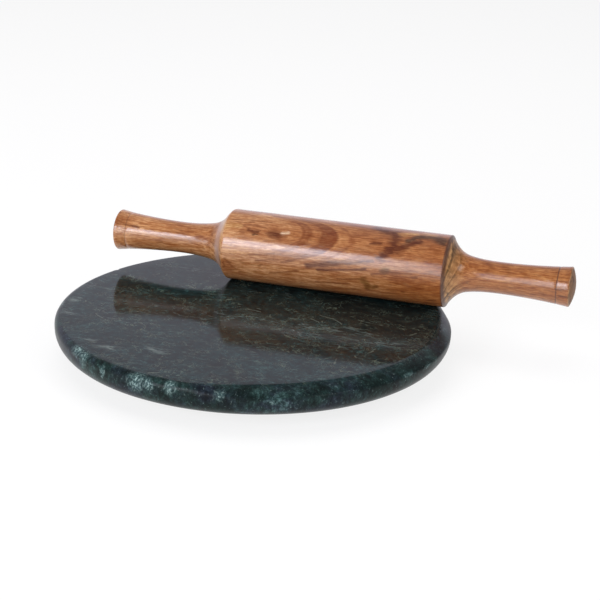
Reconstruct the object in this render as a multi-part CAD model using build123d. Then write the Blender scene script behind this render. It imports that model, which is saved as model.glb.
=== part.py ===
# Rolling board of polished green marble on three low feet, with the one-piece
# turned wooden rolling pin that lies across it. Lengths are in millimetres.
# The origin is on the table, under the middle of the board and pin's outline.
# +Z is up, +X runs along the pin and -Y is the side that the cook stands at.

import os

from build123d import *

# Board: a round slab sawn from one piece of marble, its rim ground soft.
board_diameter = 254.0
board_thickness = 19.0
rolling_edge_radius = 4.8
lower_edge_radius = 12.5

# Feet: low buns turned from the same stone and glued under the slab.
foot_diameter = 30.0
foot_height = 9.0
foot_edge_radius = 3.0
foot_inset = 32.0
foot_names = ["foot_rear", "foot_left", "foot_right"]
first_foot_angle = 90

# Pin: a barrel with two waisted grips, turned from a single billet.
barrel_diameter = 47.8
barrel_length = 152.2
barrel_bevel = 1.0
cove_length = 14.0
neck_diameter = 24.2
waist_diameter = 20.8
waist_distance = 34.0
grip_length = 82.8
grip_end_diameter = 26.6
grip_end_dome = 3.0
grip_end_rounding = 1.0

# Scored ring near the end of each grip.
ring_diameter = 24.9
ring_width = 0.7
ring_depth = 0.4
ring_from_end = 11.4

# Where the pin rests: behind the board's middle and over to its right.
pin_shift_right = 37.3
pin_shift_back = 59.5
rest_clearance = 0.3

# Directions of the turned curve, as a step away from the axis and one along it.
cove_top_direction = (-1.7, 1)
neck_direction = (-0.2, 1)
waist_direction = (0, 1)
ring_direction = (0.1, 1)

board_radius = board_diameter / 2
foot_radius = foot_diameter / 2
barrel_radius = barrel_diameter / 2
half_barrel = barrel_length / 2
half_length = half_barrel + grip_length
foot_circle_radius = board_radius - foot_inset - foot_radius
board_middle = (board_radius - pin_shift_right - half_length) / 2
face_height = foot_height + board_thickness


def slab():
    """The board: a disc with a soft upper arris and a fuller lower one."""
    disc = Cylinder(
        board_radius,
        board_thickness,
        align=(Align.CENTER, Align.CENTER, Align.MIN),
    )
    rims = disc.edges().filter_by(GeomType.CIRCLE).sort_by(Axis.Z)
    disc = fillet(rims[-1], rolling_edge_radius)
    lower_rim = disc.edges().filter_by(GeomType.CIRCLE).sort_by(Axis.Z)[0]
    disc = fillet(lower_rim, lower_edge_radius)
    return Pos(board_middle, 0, foot_height) * disc


def foot(angle):
    """A bun foot: flat where it is glued, rounded where it meets the table."""
    bun = Cylinder(
        foot_radius,
        foot_height,
        align=(Align.CENTER, Align.CENTER, Align.MIN),
    )
    rim = bun.edges().filter_by(GeomType.CIRCLE).sort_by(Axis.Z)[0]
    bun = fillet(rim, foot_edge_radius)
    spot = Rot(0, 0, angle) * Pos(foot_circle_radius, 0, 0)
    return Pos(board_middle, 0, 0) * spot * bun


def half_pin_profile():
    """Half of the pin's section, from mid-barrel to the end of one grip.

    The curve drops over the barrel's bevelled arris into a deep cove, runs out
    along a slim waist and swells again, past a scored ring, to fill the palm.
    """
    ring_radius = ring_diameter / 2
    ring_start = half_length - ring_from_end
    bevel_foot = (barrel_radius - barrel_bevel, half_barrel)
    neck = (neck_diameter / 2, half_barrel + cove_length)
    waist = (waist_diameter / 2, half_barrel + waist_distance)
    ring_edge = (ring_radius, ring_start)
    dome_edge = (grip_end_diameter / 2, half_length - grip_end_dome)
    pin_tip = (0, half_length)
    with BuildSketch(Plane.XZ) as sketch:
        with BuildLine():
            Polyline(
                pin_tip,
                (0, 0),
                (barrel_radius, 0),
                (barrel_radius, half_barrel - barrel_bevel),
                bevel_foot,
            )
            Spline(
                bevel_foot,
                neck,
                waist,
                ring_edge,
                tangents=[
                    cove_top_direction,
                    neck_direction,
                    waist_direction,
                    ring_direction,
                ],
            )
            Polyline(
                ring_edge,
                (ring_radius - ring_depth, ring_start + ring_width / 2),
                (ring_radius, ring_start + ring_width),
                dome_edge,
            )
            TangentArc(pin_tip, dome_edge, tangent=(1, 0))
        make_face()
        palm_corner = sketch.vertices().sort_by_distance(dome_edge)[0]
        fillet(palm_corner, grip_end_rounding)
    return sketch.sketch


def rolling_pin():
    """The whole pin, laid along X on the board's face."""
    half = revolve(half_pin_profile(), Axis.Z)
    whole = half + mirror(half, Plane.XY)
    laid = Rot(0, 90, 0) * whole
    axis_height = face_height + rest_clearance + barrel_radius
    return Pos(board_middle + pin_shift_right, pin_shift_back, axis_height) * laid


os.makedirs("parts", exist_ok=True)
export_step(slab(), "parts/board_slab.step")
for number, name in enumerate(foot_names):
    foot_angle = first_foot_angle + number * 360 / len(foot_names)
    export_step(foot(foot_angle), f"parts/{name}.step")
export_step(rolling_pin(), "parts/rolling_pin.step")
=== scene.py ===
# %% [markdown]
# # A marble rolling board and its wooden pin
# The board is a disc of polished green marble on three low stone feet. The pin
# is turned from one billet of hardwood and varnished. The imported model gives
# the true sizes and places. This script gives both things their finish.

import math

import bpy
from mathutils import Matrix, Vector, noise


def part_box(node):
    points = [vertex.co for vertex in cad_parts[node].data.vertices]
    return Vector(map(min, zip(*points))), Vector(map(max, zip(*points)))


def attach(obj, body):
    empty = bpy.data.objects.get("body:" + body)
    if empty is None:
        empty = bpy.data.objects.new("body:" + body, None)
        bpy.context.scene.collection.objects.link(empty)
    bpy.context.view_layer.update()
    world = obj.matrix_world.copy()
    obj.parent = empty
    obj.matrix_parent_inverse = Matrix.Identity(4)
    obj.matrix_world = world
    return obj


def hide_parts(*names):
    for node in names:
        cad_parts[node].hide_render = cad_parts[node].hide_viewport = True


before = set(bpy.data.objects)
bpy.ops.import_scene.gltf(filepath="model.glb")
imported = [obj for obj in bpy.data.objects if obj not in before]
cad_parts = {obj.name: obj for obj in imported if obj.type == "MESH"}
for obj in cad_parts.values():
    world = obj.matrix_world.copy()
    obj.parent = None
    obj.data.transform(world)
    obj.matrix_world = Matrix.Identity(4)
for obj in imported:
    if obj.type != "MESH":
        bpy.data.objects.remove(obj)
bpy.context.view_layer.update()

# %% [markdown]
# ## Helpers
# Colours are easiest to judge as sRGB hex codes, but a shader works with linear
# light, so one function turns the first into the second. A material is a tree
# of nodes, and one small function adds a node with its settings and its links.

# %% Helpers for colours and nodes
MM = 0.001


def linear(code, alpha=1.0):
    """The linear colour of an sRGB hex code such as #A56C44."""
    parts = [int(code[i : i + 2], 16) / 255 for i in (1, 3, 5)]
    straight = [c / 12.92 if c <= 0.04045 else ((c + 0.055) / 1.055) ** 2.4 for c in parts]
    return (*straight, alpha)


def add(tree, kind, inputs=None, stops=None, **settings):
    """One node. Each input is a value or another node's output."""
    node = tree.nodes.new("ShaderNode" + kind)
    for name, value in settings.items():
        setattr(node, name, value)
    for socket, value in (inputs or {}).items():
        if isinstance(value, bpy.types.NodeSocket):
            tree.links.new(value, node.inputs[socket])
        else:
            node.inputs[socket].default_value = value
    for i, (place, colour) in enumerate(stops or []):
        ramp = node.color_ramp.elements
        stop = ramp[i] if i < 2 else ramp.new(place)
        stop.position, stop.color = place, colour
    return node


def fresh_material(name):
    """A new material, its node tree emptied but for the shader and output."""
    material = bpy.data.materials.new(name)
    material.use_nodes = True
    tree = material.node_tree
    tree.nodes.clear()
    shader = add(tree, "BsdfPrincipled")
    add(tree, "OutputMaterial", {"Surface": shader.outputs[0]})
    return material, tree, shader


# %% [markdown]
# ## Turning a shape
# The slab, its rim and the pin are all round about one axis, so each is drawn
# as a half profile and spun, as on a lathe. A screw modifier would do it, but a
# mesh built ring by ring lets the hand work show: each ring can wander a little.

# %% A lathe for meshes
def spun(name, profile, along, place, sides, wander=None):
    """A closed solid from (distance along the axis, radius) pairs."""
    axis = Vector(along)
    across = axis.orthogonal().normalized()
    up = axis.cross(across)
    points, faces = [], []
    for step, (distance, radius) in enumerate(profile):
        for side in range(sides):
            turn = 2 * math.pi * side / sides
            spoke = across * math.cos(turn) + up * math.sin(turn)
            inward = wander(distance, radius, spoke) if wander else 0
            points.append(axis * distance + spoke * (radius - inward))
            if step:
                a, b = (step - 1) * sides + side, (step - 1) * sides + (side + 1) % sides
                faces.append((a, b, b + sides, a + sides))
    for step, last in ((0, False), (len(profile) - 1, True)):
        middle = len(points)
        points.append(axis * profile[step][0])
        for side in range(sides):
            a, b = step * sides + side, step * sides + (side + 1) % sides
            faces.append((middle, a, b) if last else (middle, b, a))
    mesh = bpy.data.meshes.new(name)
    mesh.from_pydata(points, [], faces)
    mesh.validate()
    mesh.shade_smooth()
    piece = bpy.data.objects.new(name, mesh)
    piece.location = place
    bpy.context.collection.objects.link(piece)
    return piece


# %% [markdown]
# ## The slab
# A slab like this is sawn from a block, cut round, and its rim is ground by
# hand: a soft upper edge that won't chip and a fuller lower one that fingers
# can lift. Two quarter circles joined by a short straight side give that line.

# %% The slab's profile
slab_low, slab_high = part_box("board_slab")
slab_radius = (slab_high.x - slab_low.x) / 2
slab_thickness = slab_high.z - slab_low.z
slab_middle = Vector(((slab_low.x + slab_high.x) / 2, 0, slab_high.z))
upper_edge, lower_edge = 4.8 * MM, 12.5 * MM
arc_steps = 12


def quarter(centre, size, start):
    """Points on a quarter circle from an angle, given as (height, radius)."""
    height, radius = centre
    for i in range(arc_steps + 1):
        angle = math.radians(start - 90 * i / arc_steps)
        yield height + size * math.sin(angle), radius + size * math.cos(angle)


slab_profile = [(0, slab_radius * share) for share in (0.1, 0.3, 0.5, 0.7, 0.8, 0.88)]
slab_profile += quarter((-upper_edge, slab_radius - upper_edge), upper_edge, 90)
slab_profile += quarter((lower_edge - slab_thickness, slab_radius - lower_edge), lower_edge, 0)
slab_profile += [(-slab_thickness, slab_radius * share) for share in (0.8, 0.6, 0.4, 0.1)]
slab_size = [round(length / MM, 1) for length in (slab_radius, slab_thickness)]
print("slab radius and thickness in mm:", *slab_size)

# %% [markdown]
# A hand-ground rim is never quite true. The upper arris is narrow on the left
# of the board and rolls off by some 6 mm more on its right, the rim sinks by a
# few tenths of a millimetre here and there, and small chips break the arris.
# All of this goes inward, so that the slab stays in the model's box.

# %% Spin the slab
# Each chip: its direction from the middle in degrees, half width and depth.
chips = [(158.6, 2.2 * MM, 1.0 * MM), (-96.0, 5.0 * MM, 0.5 * MM)]
wide_side, roll_off = -28.0, 6.5 * MM
rim_wander = 0.25 * MM
flat_share = 0.9


def way(direction):
    """The level unit vector in a direction given in degrees."""
    angle = math.radians(direction)
    return Vector((math.cos(angle), math.sin(angle), 0))


def ground_rim(height, radius, spoke):
    """How far hand grinding and chips take the rim in."""
    if radius < slab_radius * flat_share:
        return 0
    sunk = rim_wander * (0.5 + 0.5 * noise.noise(spoke * 4.0))
    above = max(0, 1 + height / upper_edge)
    facing = spoke.dot(way(wide_side))
    wide = min(1, max(0, (facing - 0.5) / 0.25)) * (0.85 + 0.3 * noise.noise(spoke * 3.0))
    sunk += roll_off * wide * above
    for direction, half_width, depth in chips:
        gap = (spoke - way(direction)).length * slab_radius
        sunk += depth * max(0, 1 - (gap / half_width) ** 2) * above
    return sunk


slab = spun("polished_slab", slab_profile, (0, 0, 1), slab_middle, 512, ground_rim)
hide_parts("board_slab")
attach(slab, "board")
print("slab faces:", len(slab.data.polygons))

# %% [markdown]
# ## The marble
# Green marble is serpentine: near black with green in it, crossed by fine pale
# fibres and veins, denser along the bed that it was laid down in. Its top is
# ground and polished to a mirror, so it shows the room more than its own
# colour. The ground rim is duller and shows the green.

# %% Marble: where on the stone
def stirred(tree, place, drive, scale, detail, roughness, reach):
    """A place pushed about by a noise, by up to half of reach each way."""
    push = add(
        tree,
        "TexNoise",
        {"Vector": drive, "Scale": scale, "Detail": detail, "Roughness": roughness},
    )
    push = add(
        tree,
        "VectorMath",
        {0: push.outputs["Color"], 1: (0.5, 0.5, 0.5)},
        operation="SUBTRACT",
    )
    pushed = add(
        tree,
        "VectorMath",
        {0: push.outputs[0], 1: reach, 2: place},
        operation="MULTIPLY_ADD",
    )
    return pushed.outputs[0]


marble, tree, shader = fresh_material("polished_green_serpentine_marble")
coordinates = add(tree, "TexCoord")
spot = coordinates.outputs["Object"]
# Folds in the bed push the pattern about by up to 8 mm.
fold = 16 * MM
folded = stirred(tree, spot, spot, 28.0, 4.0, 0.5, (fold, fold, fold))
# The rim begins where the surface turns down, with a ragged line: the polish
# gives out a few millimetres before the arris, sooner here and later there.
raggedness, early_fade = 0.12, 0.07
fade_from, fade_to = slab_radius - 14 * MM, slab_radius - 4 * MM
turned = add(tree, "SeparateXYZ", {0: coordinates.outputs["Normal"]}).outputs[2]
uneven = add(tree, "TexNoise", {"Vector": spot, "Scale": 130.0, "Detail": 4.0, "Roughness": 0.6})
uneven = add(
    tree,
    "Math",
    {0: uneven.outputs[0], 1: raggedness, 2: turned},
    operation="MULTIPLY_ADD",
)
from_middle = add(tree, "VectorMath", {0: spot, 1: (1, 1, 0)}, operation="MULTIPLY")
from_middle = add(tree, "VectorMath", {0: from_middle.outputs[0]}, operation="LENGTH")
outer = add(tree, "MapRange", {0: from_middle.outputs["Value"], 1: fade_from, 2: fade_to})
uneven = add(
    tree,
    "Math",
    {0: outer.outputs[0], 1: -early_fade, 2: uneven.outputs[0]},
    operation="MULTIPLY_ADD",
)
on_rim = add(tree, "MapRange", {0: uneven.outputs[0], 1: 1.03, 2: 0.93}).outputs[0]
print("the polish fades between, in mm:", round(fade_from / MM, 1), round(fade_to / MM, 1))

# %% [markdown]
# The fibres are hair-fine crooked lines, set every way. Noise is smooth, but
# the places where it crosses its own middle value form thin lines. Two such
# nets, one coarse and one fine, are shown only in patches, so that they break
# up into short fibres as they do in the stone.

# %% Marble: fibres and veins
clouds = add(tree, "TexNoise", {"Vector": folded, "Scale": 30.0, "Detail": 6.0, "Roughness": 0.65})


def hairlines(place, scale, width, patch_scale, low, high):
    """Thin lines where a noise crosses its middle, shown only in patches."""
    net = add(tree, "TexNoise", {"Vector": place, "Scale": scale, "Detail": 3.0, "Roughness": 0.6})
    off = add(tree, "Math", {0: net.outputs[0], 1: 0.5}, operation="SUBTRACT")
    off = add(tree, "Math", {0: off.outputs[0]}, operation="ABSOLUTE")
    line = add(tree, "MapRange", {0: off.outputs[0], 1: 0.0, 2: width, 3: 1.0, 4: 0.0})
    patch = add(tree, "TexNoise", {"Vector": place, "Scale": patch_scale, "Detail": 2.0})
    shown = add(tree, "MapRange", {0: patch.outputs[0], 1: low, 2: high})
    return add(
        tree,
        "Math",
        {0: line.outputs[0], 1: shown.outputs[0]},
        operation="MULTIPLY",
    ).outputs[0]


# Fibres cross every 3 to 6 mm. They are thinner than 0.1 mm on the stone and
# are drawn some 0.4 mm wide so that they show.
coarse_net = hairlines(folded, 90.0, 0.016, 50.0, 0.52, 0.62)
fine_net = hairlines(folded, 260.0, 0.03, 110.0, 0.5, 0.62)
bed = add(
    tree,
    "Mapping",
    {0: folded, "Rotation": (0, 0, math.radians(-17)), "Scale": (0.22, 1.0, 0.7)},
)
bedded = hairlines(bed.outputs[0], 75.0, 0.012, 24.0, 0.5, 0.64)
bed_grain = add(
    tree,
    "TexNoise",
    {"Vector": bed.outputs[0], "Scale": 420.0, "Detail": 5.0, "Roughness": 0.7},
)

# %% [markdown]
# Here and there the stone has a feature of its own: a pale vein on the left of
# the face, long crooked hairs on its right, clusters of crystals along the rim.
# Clusters are soft spots that let crystals through, and a hair is drawn like a
# brush stroke, from place to place, with a half width at either end.

# %% Marble: spots and strokes
def soft_spots(tree, place, spots, fade=0.35):
    """1 inside any of the spots, each (centre in mm, reach in mm), else 0."""
    most = None
    for centre, size in spots:
        away = add(
            tree,
            "VectorMath",
            {0: place, 1: tuple(c * MM for c in centre)},
            operation="SUBTRACT",
        )
        away = add(
            tree,
            "VectorMath",
            {0: away.outputs[0], 1: tuple(reach * MM for reach in size)},
            operation="DIVIDE",
        )
        away = add(tree, "VectorMath", {0: away.outputs[0]}, operation="LENGTH")
        near = add(tree, "MapRange", {0: away.outputs["Value"], 1: fade, 2: 1.0, 3: 1.0, 4: 0.0})
        if most is None:
            most = near
        else:
            most = add(tree, "Math", {0: most.outputs[0], 1: near.outputs[0]}, operation="MAXIMUM")
    return most.outputs[0]


def on_edge(direction, height=-6.0):
    """A point on the rim, by its direction from the middle in degrees."""
    angle = math.radians(direction)
    radius = slab_radius / MM
    return (radius * math.cos(angle), radius * math.sin(angle), height)


def stroke(tree, place, start, end, start_width, end_width):
    """1 on the line from start to end, 0 at its half width, below 0 outside.

    Minimum and maximum hold the share of the way in its range, because a long
    row of nodes with the clamp option is too much for one shader.
    """
    run = (end - start) * MM
    run = run if run.length > 0 else Vector((MM, 0, 0))
    begun = add(tree, "VectorMath", {0: place, 1: start * MM}, operation="SUBTRACT").outputs[0]
    share = add(
        tree,
        "VectorMath",
        {0: begun, 1: run / run.length_squared},
        operation="DOT_PRODUCT",
    )
    share = add(tree, "Math", {0: share.outputs["Value"], 1: 0.0}, operation="MAXIMUM")
    share = add(tree, "Math", {0: share.outputs[0], 1: 1.0}, operation="MINIMUM").outputs[0]
    nearest = add(tree, "VectorMath", {0: run, "Scale": share}, operation="SCALE")
    away = add(tree, "VectorMath", {0: begun, 1: nearest.outputs[0]}, operation="DISTANCE")
    width = add(
        tree,
        "Math",
        {0: share, 1: (end_width - start_width) * MM, 2: start_width * MM},
        operation="MULTIPLY_ADD",
    )
    away = add(tree, "Math", {0: away.outputs["Value"], 1: width.outputs[0]}, operation="DIVIDE")
    return add(tree, "Math", {0: 1.0, 1: away.outputs[0]}, operation="SUBTRACT").outputs[0]


def strokes(tree, place, marks, point_at):
    """All strokes of a group. Each mark is its places, then its half widths."""
    most = None
    for *places, widths in marks:
        points = [point_at(*where) for where in places]
        pairs = list(zip(points, points[1:])) or [(points[0], points[0])]
        first, last = widths
        for i, (start, end) in enumerate(pairs):
            step = (last - first) / len(pairs)
            one = stroke(tree, place, start, end, first + step * i, first + step * (i + 1))
            if most is None:
                most = one
            else:
                most = add(tree, "Math", {0: most, 1: one}, operation="MAXIMUM").outputs[0]
    return most


# %% Marble: its own features
crystal_spots = [
    (on_edge(-128, -1), (8, 7, 7)),
    (on_edge(-124.5, -3), (5, 5, 8)),
    (on_edge(-116, -5), (3, 3, 6)),
    (on_edge(-103, -4), (8, 8, 8)),
    (on_edge(-99, -4), (4, 4, 6)),
    (on_edge(-93, -3), (5, 5, 6)),
    (on_edge(-80, -3), (5, 5, 7)),
    (on_edge(-66, -9), (4, 4, 2)),
    (on_edge(-24, -5), (6, 6, 2)),
    (on_edge(-15, -6.5), (6, 6, 2)),
    (on_edge(-5, 4), (9, 12, 6)),
    (on_edge(30), (9, 9, 9)),
    (on_edge(75), (14, 14, 10)),
    (on_edge(140), (10, 10, 10)),
    (on_edge(195), (8, 8, 8)),
]
clustered = soft_spots(tree, folded, crystal_spots, 0.2)
vein_spots = [
    ((-116, -22, 0), (5, 9, 9)),
    ((-114, -40, 0), (4, 13, 9)),
    ((-108, -45, 0), (10, 4, 9)),
    ((-62, -92, 0), (13, 5, 9)),
    ((-76, -84, 0), (12, 3, 9)),
    ((-33, -84, 0), (10, 6, 9)),
]
veined_place = soft_spots(tree, folded, vein_spots, 0.3)


def on_face(x, y):
    """A point on the polished face, in mm from its middle."""
    return Vector((x, y, 0))


long_hairs = [
    ((24, -2), (34, -3), (43, -4), (0.9, 0.5)),
    ((30, 6), (44, -1), (50, -6), (0.6, 0.8)),
    ((46, 1), (52, -9), (57, -20), (0.6, 0.6)),
    ((60, -26), (67, -32), (68, -44), (0.5, 0.6)),
    ((47, -38), (58, -43), (69, -48), (73, -63), (0.5, 0.7)),
    ((66, -52), (66, -62), (0.6, 0.5)),
    ((78, -44), (88, -57), (98, -64), (0.8, 0.6)),
    ((58, -69), (64, -80), (0.6, 0.6)),
    ((89, -40), (91, -29), (98, -31), (104, -36), (0.6, 0.5)),
    ((80, -24), (88, -12), (97, -10), (0.5, 0.5)),
    ((-22, 16), (-10, 13), (1, 8), (0.9, 0.6)),
    ((-10, 22), (2, 17), (9, 16), (0.6, 0.6)),
    ((12, 14), (22, 9), (0.6, 0.5)),
    ((70, 6), (84, 0), (90, 3), (0.5, 0.5)),
    ((36, -14), (46, -20), (54, -34), (0.7, 0.6)),
    ((40, 12), (52, 8), (60, -2), (0.7, 0.5)),
    ((60, 14), (70, 10), (82, 10), (0.6, 0.5)),
    ((62, -8), (74, -14), (80, -26), (0.7, 0.5)),
    ((84, -8), (92, -20), (94, -28), (0.6, 0.5)),
    ((30, -30), (42, -34), (52, -50), (0.7, 0.5)),
    ((10, -4), (20, -10), (30, -12), (0.7, 0.5)),
    ((76, 22), (88, 18), (98, 8), (0.6, 0.5)),
    ((100, -8), (106, 2), (110, 14), (0.6, 0.5)),
    ((-6, 6), (8, 2), (14, -6), (0.7, 0.5)),
    ((-110, -20), (-96, -36), (-84, -50), (0.6, 0.5)),
    ((-60, 34), (-48, 28), (-36, 29), (0.6, 0.5)),
    ((-24, -118), (-18, -113), (-12, -112), (1.0, 0.8)),
    ((-84, -88), (-76, -88), (-66, -85), (0.9, 0.7)),
]
hairs = strokes(tree, folded, long_hairs, on_face)
# Painted shade: a broad dark stroke on the right of the face, where the shaded side of the pin is
# mirrored.
painted_shade_right = strokes(tree, folded, [((64, 28), (118, 0), (38, 30))], on_face)
print("clusters, vein places, hairs:", len(crystal_spots), len(vein_spots), len(long_hairs))

# %% Marble: the colour of the polished top
# Grains of 1 to 3 mm, paler and darker, make the ground.
grain_share, cloud_share = 0.6, 0.4
grains = add(tree, "TexNoise", {"Vector": folded, "Scale": 330.0, "Detail": 4.0, "Roughness": 0.7})
mixed_grain = add(tree, "Math", {0: grains.outputs[0], 1: grain_share}, operation="MULTIPLY")
mixed_grain = add(
    tree,
    "Math",
    {0: clouds.outputs[0], 1: cloud_share, 2: mixed_grain.outputs[0]},
    operation="MULTIPLY_ADD",
)
top_ground = add(
    tree,
    "ValToRGB",
    {0: mixed_grain.outputs[0]},
    stops=[
        (0.4, linear("#091011")),
        (0.5, linear("#0D1F20")),
        (0.58, linear("#193031")),
        (0.7, linear("#38524E")),
    ],
)
# Over it lie painted shade on the right of the face, where the pin's shaded
# side is mirrored, then flecks along the bed, the two nets of fibres, the veins
# and, last, the long hairs. Three of them get their strength here.
net_strength, vein_strength, hair_strength = 0.45, 0.4, 0.4
painted_shade_shown = add(tree, "MapRange", {0: painted_shade_right, 1: 0.0, 2: 0.6, 4: 0.75})
flecks = add(tree, "MapRange", {0: bed_grain.outputs[0], 1: 0.55, 2: 0.72, 4: 0.45})
nets = add(tree, "Math", {0: fine_net, 1: 0.6}, operation="MULTIPLY")
nets = add(tree, "Math", {0: coarse_net, 1: nets.outputs[0]}, operation="MAXIMUM")
nets = add(tree, "Math", {0: nets.outputs[0], 1: net_strength}, operation="MULTIPLY")
bright_grain = add(tree, "MapRange", {0: bed_grain.outputs[0], 1: 0.45, 2: 0.62})
veins = add(tree, "Math", {0: veined_place, 1: bright_grain.outputs[0]}, operation="MULTIPLY")
veins = add(tree, "Math", {0: veins.outputs[0], 1: bedded}, operation="MAXIMUM")
veins = add(tree, "Math", {0: veins.outputs[0], 1: vein_strength}, operation="MULTIPLY")
broken = add(
    tree,
    "Math",
    {0: bed_grain.outputs[0], 1: 1.2, 2: -0.45},
    operation="MULTIPLY_ADD",
)
hairs = add(
    tree,
    "Math",
    {0: hairs, 1: 1.6, 2: broken.outputs[0]},
    operation="MULTIPLY_ADD",
    use_clamp=True,
)
hairs = add(tree, "Math", {0: hairs.outputs[0], 1: hair_strength}, operation="MULTIPLY")
top_colour = top_ground.outputs[0]
for shown, colour in (
    # painted shade on the right of the face
    (painted_shade_shown, "#0C1617"),
    (flecks, "#4F5C52"),
    (nets, "#76806D"),
    (veins, "#87938E"),
    (hairs, "#73796B"),
):
    top_colour = add(
        tree,
        "Mix",
        {0: shown.outputs[0], 6: top_colour, 7: linear(colour)},
        data_type="RGBA",
    ).outputs[2]

# %% [markdown]
# Round the rim the grinder leaves the stone's own colour plain to see: grains
# of a millimetre or two, in patches that lean to green or to a violet blue,
# with small dark specks and the clusters of pale crystals.

# %% Marble: the colour of the rim
rim_place = add(tree, "Mapping", {0: folded, "Scale": (1.0, 1.0, 0.6)}).outputs[0]
rim_grain = add(
    tree,
    "TexNoise",
    {"Vector": rim_place, "Scale": 380.0, "Detail": 5.0, "Roughness": 0.75},
)
rim_patch = add(tree, "TexNoise", {"Vector": rim_place, "Scale": 75.0, "Detail": 3.0})
rim_tone = add(tree, "Math", {0: rim_patch.outputs[0], 1: 0.35}, operation="MULTIPLY")
rim_tone = add(
    tree,
    "Math",
    {0: rim_grain.outputs[0], 1: 0.65, 2: rim_tone.outputs[0]},
    operation="MULTIPLY_ADD",
)
green_ground = add(
    tree,
    "ValToRGB",
    {0: rim_tone.outputs[0]},
    stops=[
        (0.38, linear("#090F0F")),
        (0.48, linear("#14211F")),
        (0.58, linear("#233634")),
        (0.7, linear("#4F6C69")),
    ],
)
blue_ground = add(
    tree,
    "ValToRGB",
    {0: rim_tone.outputs[0]},
    stops=[
        (0.38, linear("#0B0E12")),
        (0.48, linear("#171D24")),
        (0.58, linear("#272F38")),
        (0.7, linear("#55646D")),
    ],
)
leaning = add(tree, "MapRange", {0: clouds.outputs[0], 1: 0.48, 2: 0.6})
rim_ground = add(
    tree,
    "Mix",
    {0: leaning.outputs[0], 6: green_ground.outputs[0], 7: blue_ground.outputs[0]},
    data_type="RGBA",
)
# Crystals and specks are half a millimetre across, and drawn nearer to one.
# The stone about a cluster is washed paler too, and a few crystals stray.
crystal = add(
    tree,
    "TexNoise",
    {"Vector": rim_place, "Scale": 1000.0, "Detail": 3.0, "Roughness": 0.65},
).outputs[0]
crystal_grain = add(tree, "MapRange", {0: crystal, 1: 0.5, 2: 0.64})
washed = add(tree, "Math", {0: clustered, 1: 0.5}, operation="MULTIPLY")
dark_specks = add(tree, "MapRange", {0: crystal, 1: 0.43, 2: 0.33, 4: 0.8})
crystals = add(tree, "Math", {0: clustered, 1: crystal_grain.outputs[0]}, operation="MULTIPLY")
crystals = add(tree, "Math", {0: crystals.outputs[0], 1: 0.85}, operation="MULTIPLY")
stray = add(tree, "MapRange", {0: crystal, 1: 0.62, 2: 0.76, 4: 0.45})
crystals = add(tree, "Math", {0: crystals.outputs[0], 1: stray.outputs[0]}, operation="MAXIMUM")
rim_colour = rim_ground.outputs[2]
for shown, colour in (
    (washed, "#425C5C"),
    (dark_specks, "#0A0F12"),
    (crystals, "#90A6A2"),
):
    rim_colour = add(
        tree,
        "Mix",
        {0: shown.outputs[0], 6: rim_colour, 7: linear(colour)},
        data_type="RGBA",
    ).outputs[2]
stone_colour = add(tree, "Mix", {0: on_rim, 6: top_colour, 7: rim_colour}, data_type="RGBA")
tree.links.new(stone_colour.outputs[2], shader.inputs["Base Color"])

# %% Marble: polish
# Serpentine has an IOR near 1.55. Polish gives a low roughness on top and a
# satin rim, and the fibres, which are softer, take a little less polish.
shader.inputs["IOR"].default_value = 1.55
shader.inputs["Specular IOR Level"].default_value = 0.09
polish = add(tree, "MapRange", {0: on_rim, 3: 0.09, 4: 0.3})
dulled = add(
    tree,
    "Math",
    {0: nets.outputs[0], 1: 0.08, 2: polish.outputs[0]},
    operation="MULTIPLY_ADD",
)
tree.links.new(dulled.outputs[0], shader.inputs["Roughness"])
ripple = add(tree, "TexNoise", {"Vector": spot, "Scale": 90.0, "Detail": 3.0})
grit = add(tree, "Bump", {"Height": ripple.outputs[0], "Strength": 0.06, "Distance": 0.2 * MM})
tree.links.new(grit.outputs[0], shader.inputs["Normal"])
slab.data.materials.append(marble)
for name in ("foot_rear", "foot_left", "foot_right"):
    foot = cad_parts[name]
    foot.data.materials.clear()
    foot.data.materials.append(marble)
print("marble nodes:", len(tree.nodes))

# %% [markdown]
# ## The pin
# The turner works one billet between centres: a straight barrel, a cove at each
# shoulder, then a grip that is slim behind the cove and swells to fill the
# palm. A thin ring is scored near each end, and the ends are gently domed.
# The curve is a cubic through four stations, each with its own slope.

# %% The pin's profile
pin_low, pin_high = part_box("rolling_pin")
pin_middle = (pin_low + pin_high) / 2
barrel_radius = (pin_high.y - pin_low.y) / 2
half_length = (pin_high.x - pin_low.x) / 2
grip_length = 82.8 * MM
half_barrel = half_length - grip_length
barrel_bevel, dome, end_round = 1.0 * MM, 3.0 * MM, 1.0 * MM
ring_back, ring_width = 11.4 * MM, 0.7 * MM
# How deep the scored ring is at places across it, both in mm.
ring_section = ((0.15, 0.05), (0.35, 0.12), (0.55, 0.05), (0.7, 0.0))
# Stations out from the barrel's shoulder: distance, radius, slope. The two
# grips were turned by eye, so the left one is a little fuller at its end and
# its shoulder is rounder.
shoulder_foot = barrel_radius - barrel_bevel
ring_distance = grip_length - ring_back
right_stations = [
    (0.6 * MM, shoulder_foot, -1.7),
    (14.0 * MM, 12.0 * MM, -0.2),
    (34.0 * MM, 10.4 * MM, 0.0),
    (ring_distance, 12.2 * MM, 0.085),
]
left_stations = [
    (-1.2 * MM, shoulder_foot, -1.7),
    (13.0 * MM, 12.3 * MM, -0.18),
    (34.0 * MM, 10.6 * MM, 0.0),
    (ring_distance, 12.75 * MM, 0.1),
]
# Each rounding: how far it turns, in degrees, and in how many steps.
shoulder_turn, shoulder_steps = 60, 8
end_turn, end_steps = 72, 6
end_shift = 0.3 * end_round
curve_steps = 16


def cubic(start, end, share):
    """The radius a share of the way between two stations."""
    (x0, r0, s0), (x1, r1, s1) = start, end
    u, span = share, x1 - x0
    ends = r0 * (1 + 2 * u) * (1 - u) ** 2 + r1 * u * u * (3 - 2 * u)
    return ends + span * (s0 * u * (1 - u) ** 2 + s1 * u * u * (u - 1))


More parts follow.
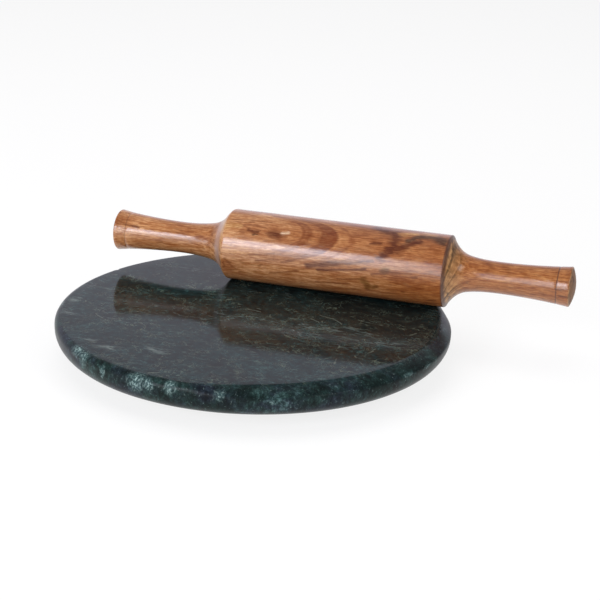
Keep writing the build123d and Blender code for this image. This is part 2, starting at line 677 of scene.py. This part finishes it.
def grip(stations, shoulder, end_radius):
    """From the middle of the barrel out to one tip. shoulder is its rounding."""
    edge = half_barrel + stations[0][0]
    line = [(edge * share, barrel_radius) for share in (0, 0.2, 0.4, 0.6, 0.8, 0.9)]
    for i in range(shoulder_steps + 1):
        turn = math.radians(shoulder_turn * i / shoulder_steps)
        back = shoulder * (1 - math.sin(turn))
        drop = shoulder * (1 - math.cos(turn))
        line.append((edge - back, barrel_radius - drop))
    last_drop = barrel_radius - line[-1][1]
    for start, end in zip(stations, stations[1:]):
        for i in range(1, curve_steps + 1):
            share = i / curve_steps
            x = start[0] + (end[0] - start[0]) * share
            radius = cubic(start, end, share)
            line.append((half_barrel + x, min(radius, barrel_radius - last_drop)))
    ring_x, ring_radius = line[-1]
    for step, depth in ring_section:
        line.append((ring_x + step * MM, ring_radius - depth * MM))
    dome_start = half_length - dome
    for share in (0.25, 0.5, 0.75):
        x = ring_x + (dome_start - ring_x) * share
        line.append((x, ring_radius + (end_radius - ring_radius) * share))
    for i in range(end_steps + 1):
        turn = math.radians(end_turn * i / end_steps)
        back = end_round * (1 - math.sin(turn)) - end_shift
        line.append((dome_start - back, end_radius - end_round * (1 - math.cos(turn))))
    edge_x, edge_radius = line[-1]
    for share in (0.85, 0.65, 0.4, 0.15):
        rise = (half_length - edge_x) * (1 - share * share)
        line.append((edge_x + rise, edge_radius * share))
    return line


right = grip(right_stations, 1.0 * MM, 13.1 * MM)
left = grip(left_stations, 2.4 * MM, 14.0 * MM)
pin_profile = [(-x, r) for x, r in reversed(left[1:])] + right
pin_size = [round(length / MM, 1) for length in (2 * half_length, 2 * barrel_radius)]
print("pin length and barrel in mm:", *pin_size)

# %% Turn the pin
tool_ride = 0.12 * MM


def turner_hand(distance, radius, spoke):
    """The tool rides up and down a little as it goes along."""
    return tool_ride * (0.5 + 0.5 * noise.noise(Vector((distance * 60, 3.1, 0.7))))


pin = spun("turned_pin", pin_profile, (1, 0, 0), pin_middle, 160, turner_hand)
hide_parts("rolling_pin")
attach(pin, "pin")
print("pin faces:", len(pin.data.polygons))

# %% [markdown]
# ## The wood
# The wood is a warm brown plantation hardwood, flat sawn and varnished. Growth
# rings are cones about the tree's heart. Where the lathe cuts them on the flat
# they show as long loops, and between the loops as straight grain. So the ring
# pattern here is a distance from a heart line that passes beside the billet.

# %% Wood: growth rings
wood, tree, shader = fresh_material("varnished_flat_sawn_hardwood")
coordinates = add(tree, "TexCoord")
spot = coordinates.outputs["Object"]
lengthwise = add(tree, "Mapping", {0: spot, "Scale": (0.2, 1.0, 1.0)}).outputs[0]
# The grain wanders along by some 2 mm and across by 0.5 mm, and the edges of
# stains are more ragged than that.
sway_reach = (10 * MM, 2.4 * MM, 2.4 * MM)
ragged_reach = (12 * MM, 3 * MM, 3 * MM)
swayed = stirred(tree, spot, lengthwise, 60.0, 5.0, 0.6, sway_reach)
ragged = stirred(tree, spot, lengthwise, 260.0, 4.0, 0.65, ragged_reach)
parts = add(tree, "SeparateXYZ", {0: swayed})
# The tree's heart ran 48 mm below and behind the billet's own middle.
heart_y, heart_z = 34 * MM, -34 * MM
to_heart_y = add(tree, "Math", {0: parts.outputs[1], 1: heart_y}, operation="SUBTRACT")
to_heart_z = add(tree, "Math", {0: parts.outputs[2], 1: heart_z}, operation="SUBTRACT")
from_heart = add(tree, "CombineXYZ", {1: to_heart_y.outputs[0], 2: to_heart_z.outputs[0]})
from_heart = add(tree, "VectorMath", {0: from_heart.outputs[0]}, operation="LENGTH")
from_heart = from_heart.outputs["Value"]
# The trunk narrows, so a ring moves off its line by 15 mm in 100 mm.
narrowing = 0.15
rings = add(
    tree,
    "Math",
    {0: parts.outputs[0], 1: -narrowing, 2: from_heart},
    operation="MULTIPLY_ADD",
).outputs[0]
print("the heart is away by, in mm:", round(math.hypot(heart_y, heart_z) / MM, 1))

# %% Wood: the colours of the years
# Years differ in width, from 0.8 to 2 mm, and come in spells of 6 mm.
thin_years = add(
    tree,
    "TexNoise",
    {"W": rings, "Scale": 620.0, "Detail": 3.0, "Roughness": 0.55},
    noise_dimensions="1D",
)
spells = add(tree, "TexNoise", {"W": rings, "Scale": 170.0, "Detail": 1.0}, noise_dimensions="1D")
years = add(tree, "Math", {0: thin_years.outputs[0], 1: spells.outputs[0]}, operation="ADD")
years = add(tree, "Math", {0: years.outputs[0], 1: 0.5}, operation="MULTIPLY").outputs[0]
ring_colour = add(
    tree,
    "ValToRGB",
    {0: years},
    stops=[
        (0.3, linear("#BA875A")),
        (0.44, linear("#CC9B6C")),
        (0.56, linear("#D7A879")),
        (0.7, linear("#DFB284")),
    ],
)

# %% [markdown]
# On top of the barrel's front the saw met the rings on the flat. There they
# close in arcs, one inside the other. Each ring closes at a place along the
# barrel, which is worked out from its distance to the heart, and a ramp along
# these places says how dark each arc is. Down the sides the arcs fade out.

# %% Wood: the arcs
flat_distance = 72 * MM
closes_at = add(tree, "Math", {0: flat_distance, 1: rings}, operation="SUBTRACT")
closes_at = add(tree, "Math", {0: closes_at.outputs[0], 1: narrowing}, operation="DIVIDE")
arcs_from, arcs_to = -30, 40
arc_share = add(tree, "MapRange", {0: closes_at.outputs[0], 1: arcs_from * MM, 2: arcs_to * MM})
# Places along the barrel in mm, each with the darkness of the arc there.
arc_darkness = [
    (-30, 0.1), (-21, 0.1), (-19, 0.75), (-17.5, 0.35), (-14, 0.65), (-12.5, 0.15), (-7, 0.0),
    (-5, 0.8), (5, 1.0), (7, 0.1), (13, 0.15), (15.5, 0.65), (18, 0.1), (28, 0.3),
]
arc_stops = [
    ((x - arcs_from) / (arcs_to - arcs_from), (dark, dark, dark, 1))
    for x, dark in arc_darkness
]
arcs = add(tree, "ValToRGB", {0: arc_share.outputs[0]}, stops=arc_stops)
flat_cut = add(tree, "MapRange", {0: from_heart, 1: 66 * MM, 2: 71 * MM, 3: 0.2, 4: 0.95})
arcs_shown = add(tree, "Math", {0: arcs.outputs[0], 1: flat_cut.outputs[0]}, operation="MULTIPLY")
arced = add(
    tree,
    "Mix",
    {0: arcs_shown.outputs[0], 6: ring_colour.outputs[0], 7: linear("#8C5029")},
    data_type="RGBA",
)

# %% [markdown]
# A billet has marks of its own: a pair of small knots, stained streaks that
# cross the grain, pale sapwood. Each is a stroke, as on the stone. A place is
# given in mm along the pin and degrees above its front.

# %% Wood: places on it
grip_radius, cove_radius = 12.3, 18.5


def on_wood(along, above, radius=barrel_radius / MM):
    """A point on the barrel, in mm from its middle."""
    angle = math.radians(above)
    return Vector((along, -radius * math.cos(angle), radius * math.sin(angle)))


def on_grip(along, above):
    """A point on a grip, in mm from the pin's middle."""
    return on_wood(along, above, grip_radius)


def in_cove(along, above):
    """A point in the right cove, in mm from the pin's middle."""
    return on_wood(along, above, cove_radius)


# %% Wood: where the marks are
broad_stains = [
    ((-61, 46), (-50, 47), (8, 8)),
    ((-43, 47), (-34, 42), (9, 8)),
    ((15, 64), (16.5, 40), (4.5, 4.5)),
    ((2, 86), (26, 88), (50, 94), (4, 6)),
    ((46, -4), (60, -12), (6, 6)),
    ((-66, -16), (-70, -26), (6, 7)),
]
brown_streaks = [
    ((-13, -1), (2, 6.5), (17, 12.5), (31, 19.6), (3.0, 1.3)),
    ((-6, -6), (12, 0), (26, 6), (1.4, 1.0)),
    ((36, 26), (41, 43), (42, 57), (40, 76), (3.8, 6)),
    ((43, 42), (51, 51), (58, 62), (3.6, 3.0)),
    ((27, 88), (36, 77), (4.5, 6)),
    ((28, 48.4), (33, 49), (2.2, 1.8)),
    ((-56, 45), (-54, 43), (-49, 42.7), (2.0, 1.8)),
    ((-40, 42), (-36, 42), (4.2, 4.2)),
]
fine_lines = [
    ((-65, 50), (-58, 54), (-52, 55), (-45, 52), (1.3, 1.1)),
    ((-61.5, 40.5), (2.1, 2.1)),
    ((-33, 40), (-30, 40), (2.0, 1.4)),
    ((-69.5, -8), (-66.5, -15), (-64.7, -26), (-68, -29), (1.2, 1.4)),
    ((-71, -14), (-71.5, -25), (1.0, 1.0)),
    ((-47, -11), (1.4, 1.4)),
    ((-61, -30), (1.4, 1.4)),
    ((51, -27), (53, -27), (1.4, 1.2)),
    ((66, -40), (71, -37), (1.3, 1.3)),
    ((58, 2), (62, 3), (1.3, 1.3)),
    ((-53, 4), (-37, 11.6), (0.9, 0.9)),
    ((-50, -4.5), (-36, 2.3), (1.1, 0.9)),
    ((-31, -1.4), (-17, 10), (1.2, 0.9)),
    ((-41, -25), (-19, -12), (1.1, 1.1)),
    ((-70, 62), (-40, 66), (0.9, 0.9)),
    ((-72, 57), (-55, 60), (0.8, 0.8)),
    ((29, -1.5), (45, 5.6), (57, 7.2), (1.2, 1.0)),
    ((6, -18), (22, -13), (1.1, 0.9)),
    ((-8, -30), (14, -24), (1.1, 0.9)),
]
olive_stains = [
    ((25, -14), (27, -26), (4, 4)),
    ((31, -24), (3, 3)),
    ((38.8, 7), (3.6, 3.6)),
]
grey_stains = [
    ((50, 60), (55, 73), (67, 78), (75, 68), (3.2, 5.2)),
]
specks = [
    ((-53, 37.5), (-51, 39), (-49, 38), (1.0, 0.7)),
]
sapwood = [
    ((-74, 47), (-70, 50), (-64, 51), (4.0, 2.8)),
    ((45.5, 75), (54, 83), (4.2, 3.2)),
    ((60, 87), (66, 85), (3.0, 2.8)),
]
# Painted glint: a small white spot of shine high on the left of the barrel.
painted_glint = [((-33, 46.6), (-29, 48), (1.7, 1.5))]
# Painted light: a paler wash below the line of shine, on the left of the barrel and along its
# lower front, for the soft glow of the lamps there.
painted_glow_below_shine = [
    ((-66, 10), (-34, -18), (20, 16)),
    ((-20, -24), (30, -22), (11, 13)),
]

# %% Wood: paint the marks
# A stain soaks in more along some fibres, so the grain breaks up every mark.
grain = add(
    tree,
    "TexNoise",
    {"Vector": lengthwise, "Scale": 500.0, "Detail": 5.0, "Roughness": 0.7},
).outputs[0]
soaked = add(tree, "Math", {0: grain, 1: 1.8, 2: -0.9}, operation="MULTIPLY_ADD").outputs[0]


def stained(tree, under, marks, point_at, colour, fill, strength):
    """A colour with marks painted over it. More fill makes them more solid."""
    shown = strokes(tree, ragged, marks, point_at)
    shown = add(
        tree,
        "Math",
        {0: shown, 1: fill, 2: soaked},
        operation="MULTIPLY_ADD",
        use_clamp=True,
    )
    shown = add(tree, "Math", {0: shown.outputs[0], 1: strength}, operation="MULTIPLY")
    return add(
        tree,
        "Mix",
        {0: shown.outputs[0], 6: under, 7: linear(colour)},
        data_type="RGBA",
    ).outputs[2]


marked = arced.outputs[2]
for group, colour, strength in [
    # painted glow below the line of shine
    (painted_glow_below_shine, "#E2B98F", 0.45),
    (broad_stains, "#A46A40", 0.5),
    (fine_lines, "#85502C", 0.6),
    (brown_streaks, "#76462A", 0.9),
    (olive_stains, "#7B5A20", 0.75),
    (grey_stains, "#6F594A", 0.95),
    (sapwood, "#E4C493", 1.0),
    (specks, "#56361F", 0.85),
    # painted glint
    (painted_glint, "#EFE3D3", 0.9),
]:
    marked = stained(tree, marked, group, on_wood, colour, 1.4, strength)
# The grips have a few dark lines of their own.
grip_lines = [
    ((-159, 42), (-150, 36), (-139, 32), (1.5, 1.1)),
    ((-130, 20), (-112, 14), (0.8, 0.7)),
    ((91, -10), (102, 0), (1.1, 0.9)),
    ((108, -11), (122, 4), (1.0, 1.2)),
    ((137, -35), (143, -53), (1.1, 1.0)),
    ((149, 5), (155, 9), (1.1, 0.9)),
    ((149, -13), (157, -12), (1.1, 0.9)),
    ((105, 15), (108, 15), (1.3, 1.3)),
]
marked = stained(tree, marked, grip_lines, on_grip, "#7F4E2C", 1.2, 1.0)
print("lines on the grips:", len(grip_lines))

# %% Wood: tone, fibres and pores
# The billet was redder and darker toward its right end.
along = add(tree, "SeparateXYZ", {0: spot}).outputs[0]
redder = add(tree, "MapRange", {0: along, 1: -45 * MM, 2: 160 * MM})
redder = add(
    tree,
    "ValToRGB",
    {0: redder.outputs[0]},
    stops=[(0.0, linear("#FFFFFF")), (0.56, linear("#E0CAAE")), (1.0, linear("#D8C4A9"))],
)
marked = add(
    tree,
    "Mix",
    {0: 1.0, 6: marked, 7: redder.outputs[0]},
    data_type="RGBA",
    blend_type="MULTIPLY",
).outputs[2]
# Broad patches, bundles of fibre and single fibres each tint the wood a little.
fibres = add(tree, "Mapping", {0: spot, "Scale": (0.07, 1.0, 1.0)}).outputs[0]
for place, scale, detail, low, high, dark in [
    (lengthwise, 34.0, 2.0, 0.3, 0.7, "#EDE3D9"),
    (lengthwise, 170.0, 3.0, 0.36, 0.62, "#EADDD0"),
    (lengthwise, 620.0, 4.0, 0.4, 0.6, "#E4D4C4"),
    (fibres, 1300.0, 2.0, 0.4, 0.56, "#D6BFAA"),
    (spot, 420.0, 3.0, 0.38, 0.6, "#F2ECE6"),
]:
    tint = add(
        tree,
        "TexNoise",
        {"Vector": place, "Scale": scale, "Detail": detail, "Roughness": 0.6},
    )
    tint_stops = [(low, linear(dark)), (high, linear("#FFFFFF"))]
    tint = add(tree, "ValToRGB", {0: tint.outputs[0]}, stops=tint_stops)
    marked = add(
        tree,
        "Mix",
        {0: 1.0, 6: marked, 7: tint.outputs[0]},
        data_type="RGBA",
        blend_type="MULTIPLY",
    ).outputs[2]
# Pores are 0.2 mm wide and some 3 mm long; drawn 0.5 mm wide so that they show.
pore_place = add(tree, "Mapping", {0: spot, "Scale": (0.16, 1.0, 1.0)})
pore = add(tree, "TexNoise", {"Vector": pore_place.outputs[0], "Scale": 1100.0, "Detail": 2.0})
pore_shown = add(tree, "MapRange", {0: pore.outputs[0], 1: 0.56, 2: 0.68, 4: 0.6})
pored = add(
    tree,
    "Mix",
    {0: pore_shown.outputs[0], 6: marked, 7: linear("#7E5130")},
    data_type="RGBA",
)

# %% [markdown]
# Where the lathe cuts across the fibres, in the coves and on the ends, the wood
# is end grain. It drinks more stain and shows the rings as dark arcs. The scored
# rings are burnt, and a dark band runs along the right arris.

# %% Wood: end grain
across = add(tree, "SeparateXYZ", {0: coordinates.outputs["Normal"]})
across = add(tree, "Math", {0: across.outputs[0]}, operation="ABSOLUTE").outputs[0]
end_grain = add(tree, "MapRange", {0: across, 1: 0.25, 2: 0.8}).outputs[0]
# The left shoulder was sanded more, so it shows its end grain half as much.
sanded = add(tree, "MapRange", {0: along, 1: -10 * MM, 2: 10 * MM, 3: 0.55, 4: 1.0})
end_grain = add(tree, "Math", {0: end_grain, 1: sanded.outputs[0]}, operation="MULTIPLY")
end_grain = end_grain.outputs[0]
blotched = add(tree, "TexNoise", {"Vector": spot, "Scale": 330.0, "Detail": 4.0, "Roughness": 0.6})
blotched = add(tree, "Math", {0: blotched.outputs[0], 1: 0.6, 2: -0.3}, operation="MULTIPLY_ADD")
end_years = add(tree, "Math", {0: years, 1: blotched.outputs[0]}, operation="ADD")
end_arcs = add(
    tree,
    "ValToRGB",
    {0: end_years.outputs[0]},
    stops=[
        (0.34, linear("#5F4528")),
        (0.46, linear("#8A633A")),
        (0.58, linear("#AC7E4F")),
        (0.7, linear("#C4955F")),
    ],
)
smears = [
    ((78, 100), (79, 74), (81, 50), (3.2, 2.2)),
    ((84, 76), (88, 58), (1.6, 1.2)),
    ((79, -30), (80, -52), (1.6, 1.4)),
]
end_marked = stained(tree, end_arcs.outputs[0], smears, in_cove, "#4E3A22", 1.3, 0.8)
ended = add(tree, "Mix", {0: end_grain, 6: pored.outputs[2], 7: end_marked}, data_type="RGBA")


# %% Wood: dark lines, painted shoulder sheen and the worn end
def band(tree, where, middle, half_width, strength):
    """Full strength at a station along the pin, fading to 0 at its half width."""
    off = add(tree, "Math", {0: where, 1: middle}, operation="SUBTRACT")
    off = add(tree, "Math", {0: off.outputs[0]}, operation="ABSOLUTE")
    shown = add(
        tree,
        "MapRange",
        {0: off.outputs[0], 1: half_width * 0.4, 2: half_width, 3: strength, 4: 0.0},
    )
    return shown.outputs[0]


arris_middle, arris_half_width = half_barrel + 0.6 * MM, 1.5 * MM
ring_middle, ring_burn = half_length - ring_back + ring_width / 2, 0.55 * MM
shoulder_sheen_middle, shoulder_sheen_reach = -half_barrel - 2.5 * MM, 3.5 * MM
# A dark band along the right arris, and burnt lines in the scored rings.
dark_lines = band(tree, along, arris_middle, arris_half_width, 0.8)
for middle, strength in ((ring_middle, 0.75), (-ring_middle, 0.3)):
    scored = band(tree, along, middle, ring_burn, strength)
    dark_lines = add(tree, "Math", {0: dark_lines, 1: scored}, operation="MAXIMUM").outputs[0]
# The right end has a few black cracks, which run out to its edge.
crack = add(tree, "TexNoise", {"Vector": spot, "Scale": 240.0, "Detail": 4.0, "Roughness": 0.7})
crack = add(tree, "MapRange", {0: crack.outputs[0], 1: 0.55, 2: 0.62})
on_end = add(
    tree,
    "MapRange",
    {0: along, 1: half_length - dome, 2: half_length - dome * 0.8, 4: 0.9},
)
crack = add(tree, "Math", {0: crack.outputs[0], 1: on_end.outputs[0]}, operation="MULTIPLY")
dark_lines = add(tree, "Math", {0: dark_lines, 1: crack.outputs[0]}, operation="MAXIMUM").outputs[0]
# A pinkish grey sheen is painted on the left shoulder, where its rounding
# catches the light, and hands have worn the right end bare and brown.
painted_shoulder_sheen = band(tree, along, shoulder_sheen_middle, shoulder_sheen_reach, 0.55)
handled = add(tree, "Math", {0: on_end.outputs[0], 1: 0.85}, operation="MULTIPLY").outputs[0]
wood_colour = ended.outputs[2]
for shown, colour in ((painted_shoulder_sheen, "#A58B83"), (handled, "#6E4E36"), (dark_lines, "#4C2C22")):
    wood_colour = add(
        tree,
        "Mix",
        {0: shown, 6: wood_colour, 7: linear(colour)},
        data_type="RGBA",
    ).outputs[2]
tree.links.new(wood_colour, shader.inputs["Base Color"])

# %% Wood: varnish
# Hand-rubbed varnish has an IOR of 1.5. It follows the pores, so its shine is
# a little soft, and the thirsty end grain keeps less of it on top.
shader.inputs["Roughness"].default_value = 0.5
shader.inputs["Specular IOR Level"].default_value = 0.15
varnished = add(tree, "MapRange", {0: end_grain, 3: 1.0, 4: 0.45})
bare = add(tree, "Math", {0: on_end.outputs[0], 1: -1.0, 2: 1.0}, operation="MULTIPLY_ADD")
varnished = add(tree, "Math", {0: varnished.outputs[0], 1: bare.outputs[0]}, operation="MULTIPLY")
tree.links.new(varnished.outputs[0], shader.inputs["Coat Weight"])
shader.inputs["Coat Roughness"].default_value = 0.13
shader.inputs["Coat IOR"].default_value = 1.5
relief = add(tree, "Math", {0: pore_shown.outputs[0], 1: -0.6, 2: grain}, operation="MULTIPLY_ADD")
pitted = add(
    tree,
    "Bump",
    {"Height": relief.outputs[0], "Strength": 0.4, "Distance": 0.15 * MM},
)
tree.links.new(pitted.outputs[0], shader.inputs["Normal"])
tree.links.new(pitted.outputs[0], shader.inputs["Coat Normal"])
pin.data.materials.append(wood)
print("wood nodes:", len(tree.nodes))

# %% [markdown]
# ## The studio
# The pair stands on a plain pale table in even light. A long soft lamp on the
# camera's side draws the line of shine along the barrel, a small one on the
# right brightens the neck of that grip, a broad one overhead lights the table,
# and the world fills the rest.

# %% Table and world
def seen_or_mirrored(tree):
    """1 for what the eye, a mirror or glass sees, 0 for light on its way."""
    rays = add(tree, "LightPath")
    seen = add(
        tree,
        "Math",
        {0: rays.outputs["Is Camera Ray"], 1: rays.outputs["Is Glossy Ray"]},
        operation="MAXIMUM",
    )
    seen = add(
        tree,
        "Math",
        {0: seen.outputs[0], 1: rays.outputs["Is Transmission Ray"]},
        operation="MAXIMUM",
    )
    return seen.outputs[0]


table_mesh = bpy.data.meshes.new("table")
reach = 12.0
table_mesh.from_pydata(
    [(-reach, -reach, 0), (reach, -reach, 0), (reach, reach, 0), (-reach, reach, 0)],
    [],
    [(0, 1, 2, 3)],
)
table = bpy.data.objects.new("table", table_mesh)
bpy.context.collection.objects.link(table)
paper, tree, shader = fresh_material("matt_white_backdrop_paper")
grain = add(tree, "TexNoise", {"Vector": add(tree, "TexCoord").outputs["Object"], "Scale": 400.0})
paper_stops = [(0.0, linear("#F9F8F6")), (1.0, linear("#FCFBF9"))]
paper_tone = add(tree, "ValToRGB", {0: grain.outputs[0]}, stops=paper_stops)
tree.links.new(paper_tone.outputs[0], shader.inputs["Base Color"])
shader.inputs["Roughness"].default_value = 1.0
shader.inputs["Specular IOR Level"].default_value = 0.0
# To the eye, and in polish, four fifths of the paper is plain white, so that it
# reads as a white sweep and still holds a soft shadow.
white_share = 0.82
whitened = add(tree, "Math", {0: seen_or_mirrored(tree), 1: white_share}, operation="MULTIPLY")
white = add(tree, "Emission", {"Color": linear("#FFFFFF"), "Strength": 1.0})
paper_look = add(
    tree,
    "MixShader",
    {0: whitened.outputs[0], 1: shader.outputs[0], 2: white.outputs[0]},
)
output = next(node for node in tree.nodes if node.type == "OUTPUT_MATERIAL")
tree.links.new(paper_look.outputs[0], output.inputs["Surface"])
table.data.materials.append(paper)
world = bpy.data.worlds.new("studio")
bpy.context.scene.world = world
world.use_nodes = True
tree = world.node_tree
room = tree.nodes["Background"]
# A pale backdrop stands behind, up to 33 degrees above the horizon. The
# ceiling and the room on the camera's side are darker, so the polished face
# shines while the rim's arris and the front of the pin keep their own colour.
look = add(tree, "SeparateXYZ", {0: add(tree, "TexCoord").outputs["Generated"]})
behind = add(tree, "MapRange", {0: look.outputs[1], 1: -0.3, 2: 0.3, 3: 0.5, 4: 1.0})
# What polish and varnish mirror is a little whiter than what lights the pair.
ceiling = (0.6, linear("#A0A1A6"))
lit_stops = [(0.5, linear("#E6E3ED")), ceiling]
mirror_stops = [(0.5, linear("#F5F0FF")), ceiling]
lit_by = add(tree, "ValToRGB", {0: look.outputs[2]}, stops=lit_stops)
mirrored = add(tree, "ValToRGB", {0: look.outputs[2]}, stops=mirror_stops)
# On the right the backdrop ends, so the right of the rim mirrors a dim room.
ends = add(tree, "MapRange", {0: look.outputs[0], 1: 0.15, 2: 0.55, 3: 1.0, 4: 0.35})
mirrored = add(
    tree,
    "Mix",
    {0: 1.0, 6: mirrored.outputs[0], 7: ends.outputs[0]},
    data_type="RGBA",
    blend_type="MULTIPLY",
)
room_tone = add(
    tree,
    "Mix",
    {0: seen_or_mirrored(tree), 6: lit_by.outputs[0], 7: mirrored.outputs[2]},
    data_type="RGBA",
)
room_tone = add(
    tree,
    "Mix",
    {0: 1.0, 6: room_tone.outputs[2], 7: behind.outputs[0]},
    data_type="RGBA",
    blend_type="MULTIPLY",
)
tree.links.new(room_tone.outputs[2], room.inputs["Color"])
room.inputs["Strength"].default_value = 1.0
print("table width in m:", 2 * reach)

# %% Lamps
def soft_lamp(name, spot, aim, size, brightness):
    """An area lamp. brightness is the strength of its face, as seen."""
    data = bpy.data.lights.new(name, "AREA")
    data.shape = "RECTANGLE"
    data.size, data.size_y = size
    data.energy = brightness * math.pi * size[0] * size[1]
    lamp = bpy.data.objects.new(name, data)
    lamp.location = spot
    lamp.rotation_mode = "QUATERNION"
    lamp.rotation_quaternion = (Vector(aim) - Vector(spot)).to_track_quat("-Z", "Y")
    bpy.context.collection.objects.link(lamp)
    return lamp


# The long lamp is a bright panel on the left and a dimmer one on its right, so
# the line of shine weakens toward the right end of the barrel.
lamp_y, lamp_z = pin_middle.y - 1.365, pin_middle.z + 0.62
panel_height = 0.48
for name, middle, length, brightness in (
    ("bright_long_lamp", -0.62, 0.62, 11.5),
    ("dim_long_lamp", -0.06, 0.5, 2.8),
):
    lamp_spot = (middle, lamp_y, lamp_z)
    lamp_aim = (middle, pin_middle.y, pin_middle.z)
    lamp = soft_lamp(name, lamp_spot, lamp_aim, (length, panel_height), brightness)
    lamp.data.color = linear("#F0F3FF")[:3]
front_aim = (-0.45, pin_middle.y, pin_middle.z)
low_spot = (-0.8, pin_middle.y - 1.7, pin_middle.z + 0.24)
soft_lamp("broad_front_fill", low_spot, front_aim, (1.8, 0.5), 4.2)
# A small lamp on the right puts the soft bright spot on the neck of that grip.
neck = pin_middle + Vector((half_barrel + 9 * MM, -12 * MM, 8 * MM))
soft_lamp("small_right_lamp", neck + Vector((0.66, -0.46, 0.59)), neck, (0.4, 0.5), 3.5)
# The overhead lamp only lights; a polished face doesn't mirror it.
overhead = soft_lamp("overhead_lamp", (-0.3, 0.2, 1.6), pin_middle, (1.6, 1.4), 2.2)
overhead.visible_glossy = False
print("lamps:", len(bpy.data.lights))

# %% [markdown]
# ## The camera
# The camera stands in front, a little to the right and above, and looks down
# on the board. Its long lens, 90 mm on a 36 mm frame, keeps the sides of the
# slab nearly parallel. It leans by a degree or two, as a hand-held shot does.

# %% Camera
eye_from_face = Vector((287.01, -858.01, 337.88)) * MM
right_way = Vector((0.95415, 0.29754, 0.03269))
down_way = Vector((0.131, -0.31687, -0.93938))
into_view = right_way.cross(down_way).normalized()
right_way = down_way.cross(into_view).normalized()
down_way = into_view.cross(right_way)
lens = bpy.data.cameras.new("camera")
lens.sensor_width, lens.lens = 36.0, 90.0
camera = bpy.data.objects.new("camera", lens)
turn = Matrix((right_way, -down_way, -into_view)).transposed()
camera.matrix_world = Matrix.Translation(slab_middle + eye_from_face) @ turn.to_4x4()
bpy.context.collection.objects.link(camera)
bpy.context.scene.camera = camera
bpy.context.scene.view_settings.view_transform = "Standard"
print("from the camera to the face's middle, in mm:", round(eye_from_face.length / MM))
